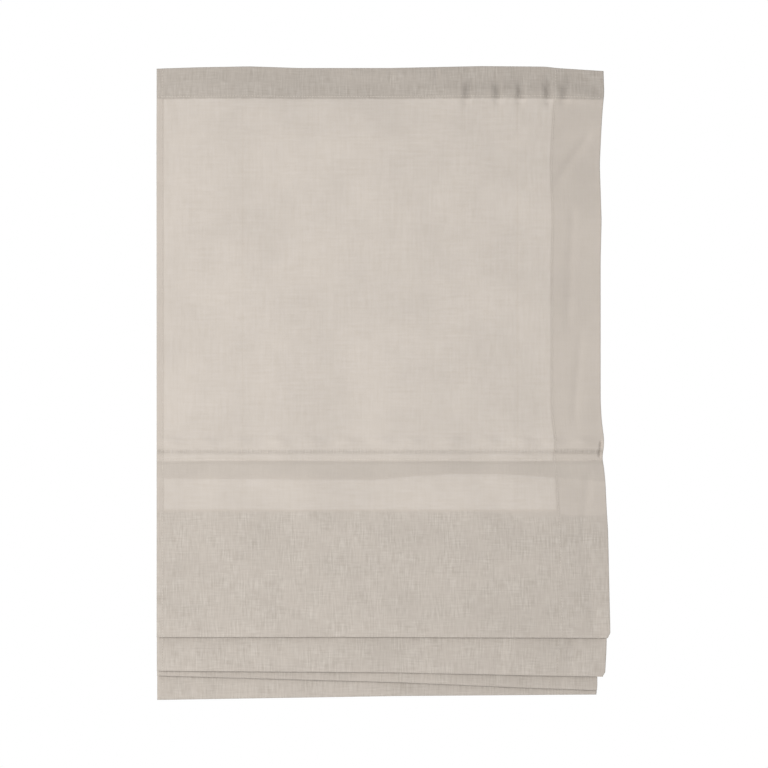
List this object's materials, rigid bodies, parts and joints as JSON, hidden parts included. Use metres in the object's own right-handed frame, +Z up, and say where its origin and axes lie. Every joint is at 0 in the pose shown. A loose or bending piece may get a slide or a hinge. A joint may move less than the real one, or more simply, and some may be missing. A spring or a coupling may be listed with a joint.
{
  "type": "roman blind",
  "caption": "Linen roman blind, part raised, with deep folds in front of its rods, on a headrail with two wall brackets.",
  "frame": {"origin": "on the wall, at the middle of the four bracket screws", "axes": "+Z up, -Y out into the room, +X to the right as seen from the room"},
  "size_m": [0.536, 0.0398, 0.7535],
  "materials": {
    "linen": "loose plain weave, undyed",
    "rail": "satin white powder coat",
    "bracket": "satin white powder coat on steel",
    "plastic": "moulded white",
    "hook_side": "woven hook tape",
    "loop_side": "woven loop tape",
    "rod": "white glass fibre rod",
    "ring": "clear white moulding",
    "bar": "mill finish",
    "cord": "braided polyester",
    "pin": "drawn steel",
    "roller": "turned"
  },
  "bodies": {
    "blind": {"cloth": "linen", "headrail": "rail", "hook_tape": "hook_side", "loop_tape": "loop_side", "end_cap_left": "plastic", "end_cap_right": "plastic", "wall_bracket_left": "bracket", "wall_bracket_right": "bracket", "cord_guide_left": "plastic", "cord_guide_right": "plastic", "lift_cord_left": "cord", "lift_cord_right": "cord", "lock_body": "plastic", "lock_pins": "pin"},
    "latch_left": {"bracket_latch_left": "bracket"},
    "latch_right": {"bracket_latch_right": "bracket"},
    "roller": {"lock_roller": "roller"},
    "pawl": {"lock_pawl": "plastic"},
    "rod_1_line": {"rod_1": "rod", "rod_1_rings": "ring"},
    "rod_2_line": {"rod_2": "rod", "rod_2_rings": "ring"},
    "rod_3_line": {"rod_3": "rod", "rod_3_rings": "ring"},
    "rod_4_line": {"rod_4": "rod", "rod_4_rings": "ring", "weight_bar": "bar", "cord_stops": "plastic"}
  },
  "joints": [
    {"name": "bracket_latch_left_turn", "type": "hinge", "parent": "blind", "child": "latch_left", "pos_m": [-0.2, -0.0225, 0], "axis": [0, 0, 1], "range_deg": [-90, 0]},
    {"name": "bracket_latch_right_turn", "type": "hinge", "parent": "blind", "child": "latch_right", "pos_m": [0.2, -0.0225, 0], "axis": [0, 0, 1], "range_deg": [0, 90]},
    {"name": "lock_roller_spin", "type": "hinge", "parent": "blind", "child": "roller", "pos_m": [-0.23, -0.0225, -0.0043], "axis": [0, 1, 0], "continuous": true},
    {"name": "lock_pawl_swing", "type": "hinge", "parent": "blind", "child": "pawl", "pos_m": [-0.243, -0.0225, -0.0023], "axis": [0, 1, 0], "range_deg": [0, 25]},
    {"name": "rod_1_raise", "type": "slide", "parent": "blind", "child": "rod_1_line", "axis": [0, 0, 1], "range_m": [0, 0.4], "deforming": ["cloth", "lift_cord_left", "lift_cord_right"]},
    {"name": "rod_4_slide", "type": "slide", "parent": "rod_1_line", "child": "rod_4_line", "axis": [0, 0, 1], "range_m": [-1.004, 0], "deforming": ["cloth", "lift_cord_left", "lift_cord_right"]},
    {"name": "rod_2_slide", "type": "slide", "parent": "rod_1_line", "child": "rod_2_line", "axis": [0, 0, 1], "range_m": [-0.304, 0]},
    {"name": "rod_3_slide", "type": "slide", "parent": "rod_1_line", "child": "rod_3_line", "axis": [0, 0, 1], "range_m": [-0.654, 0]}
  ],
  "couplings": [
    {"joint": "rod_2_slide", "follows": "rod_4_slide", "ratio": 0.3027},
    {"joint": "rod_3_slide", "follows": "rod_4_slide", "ratio": 0.6513}
  ]
}
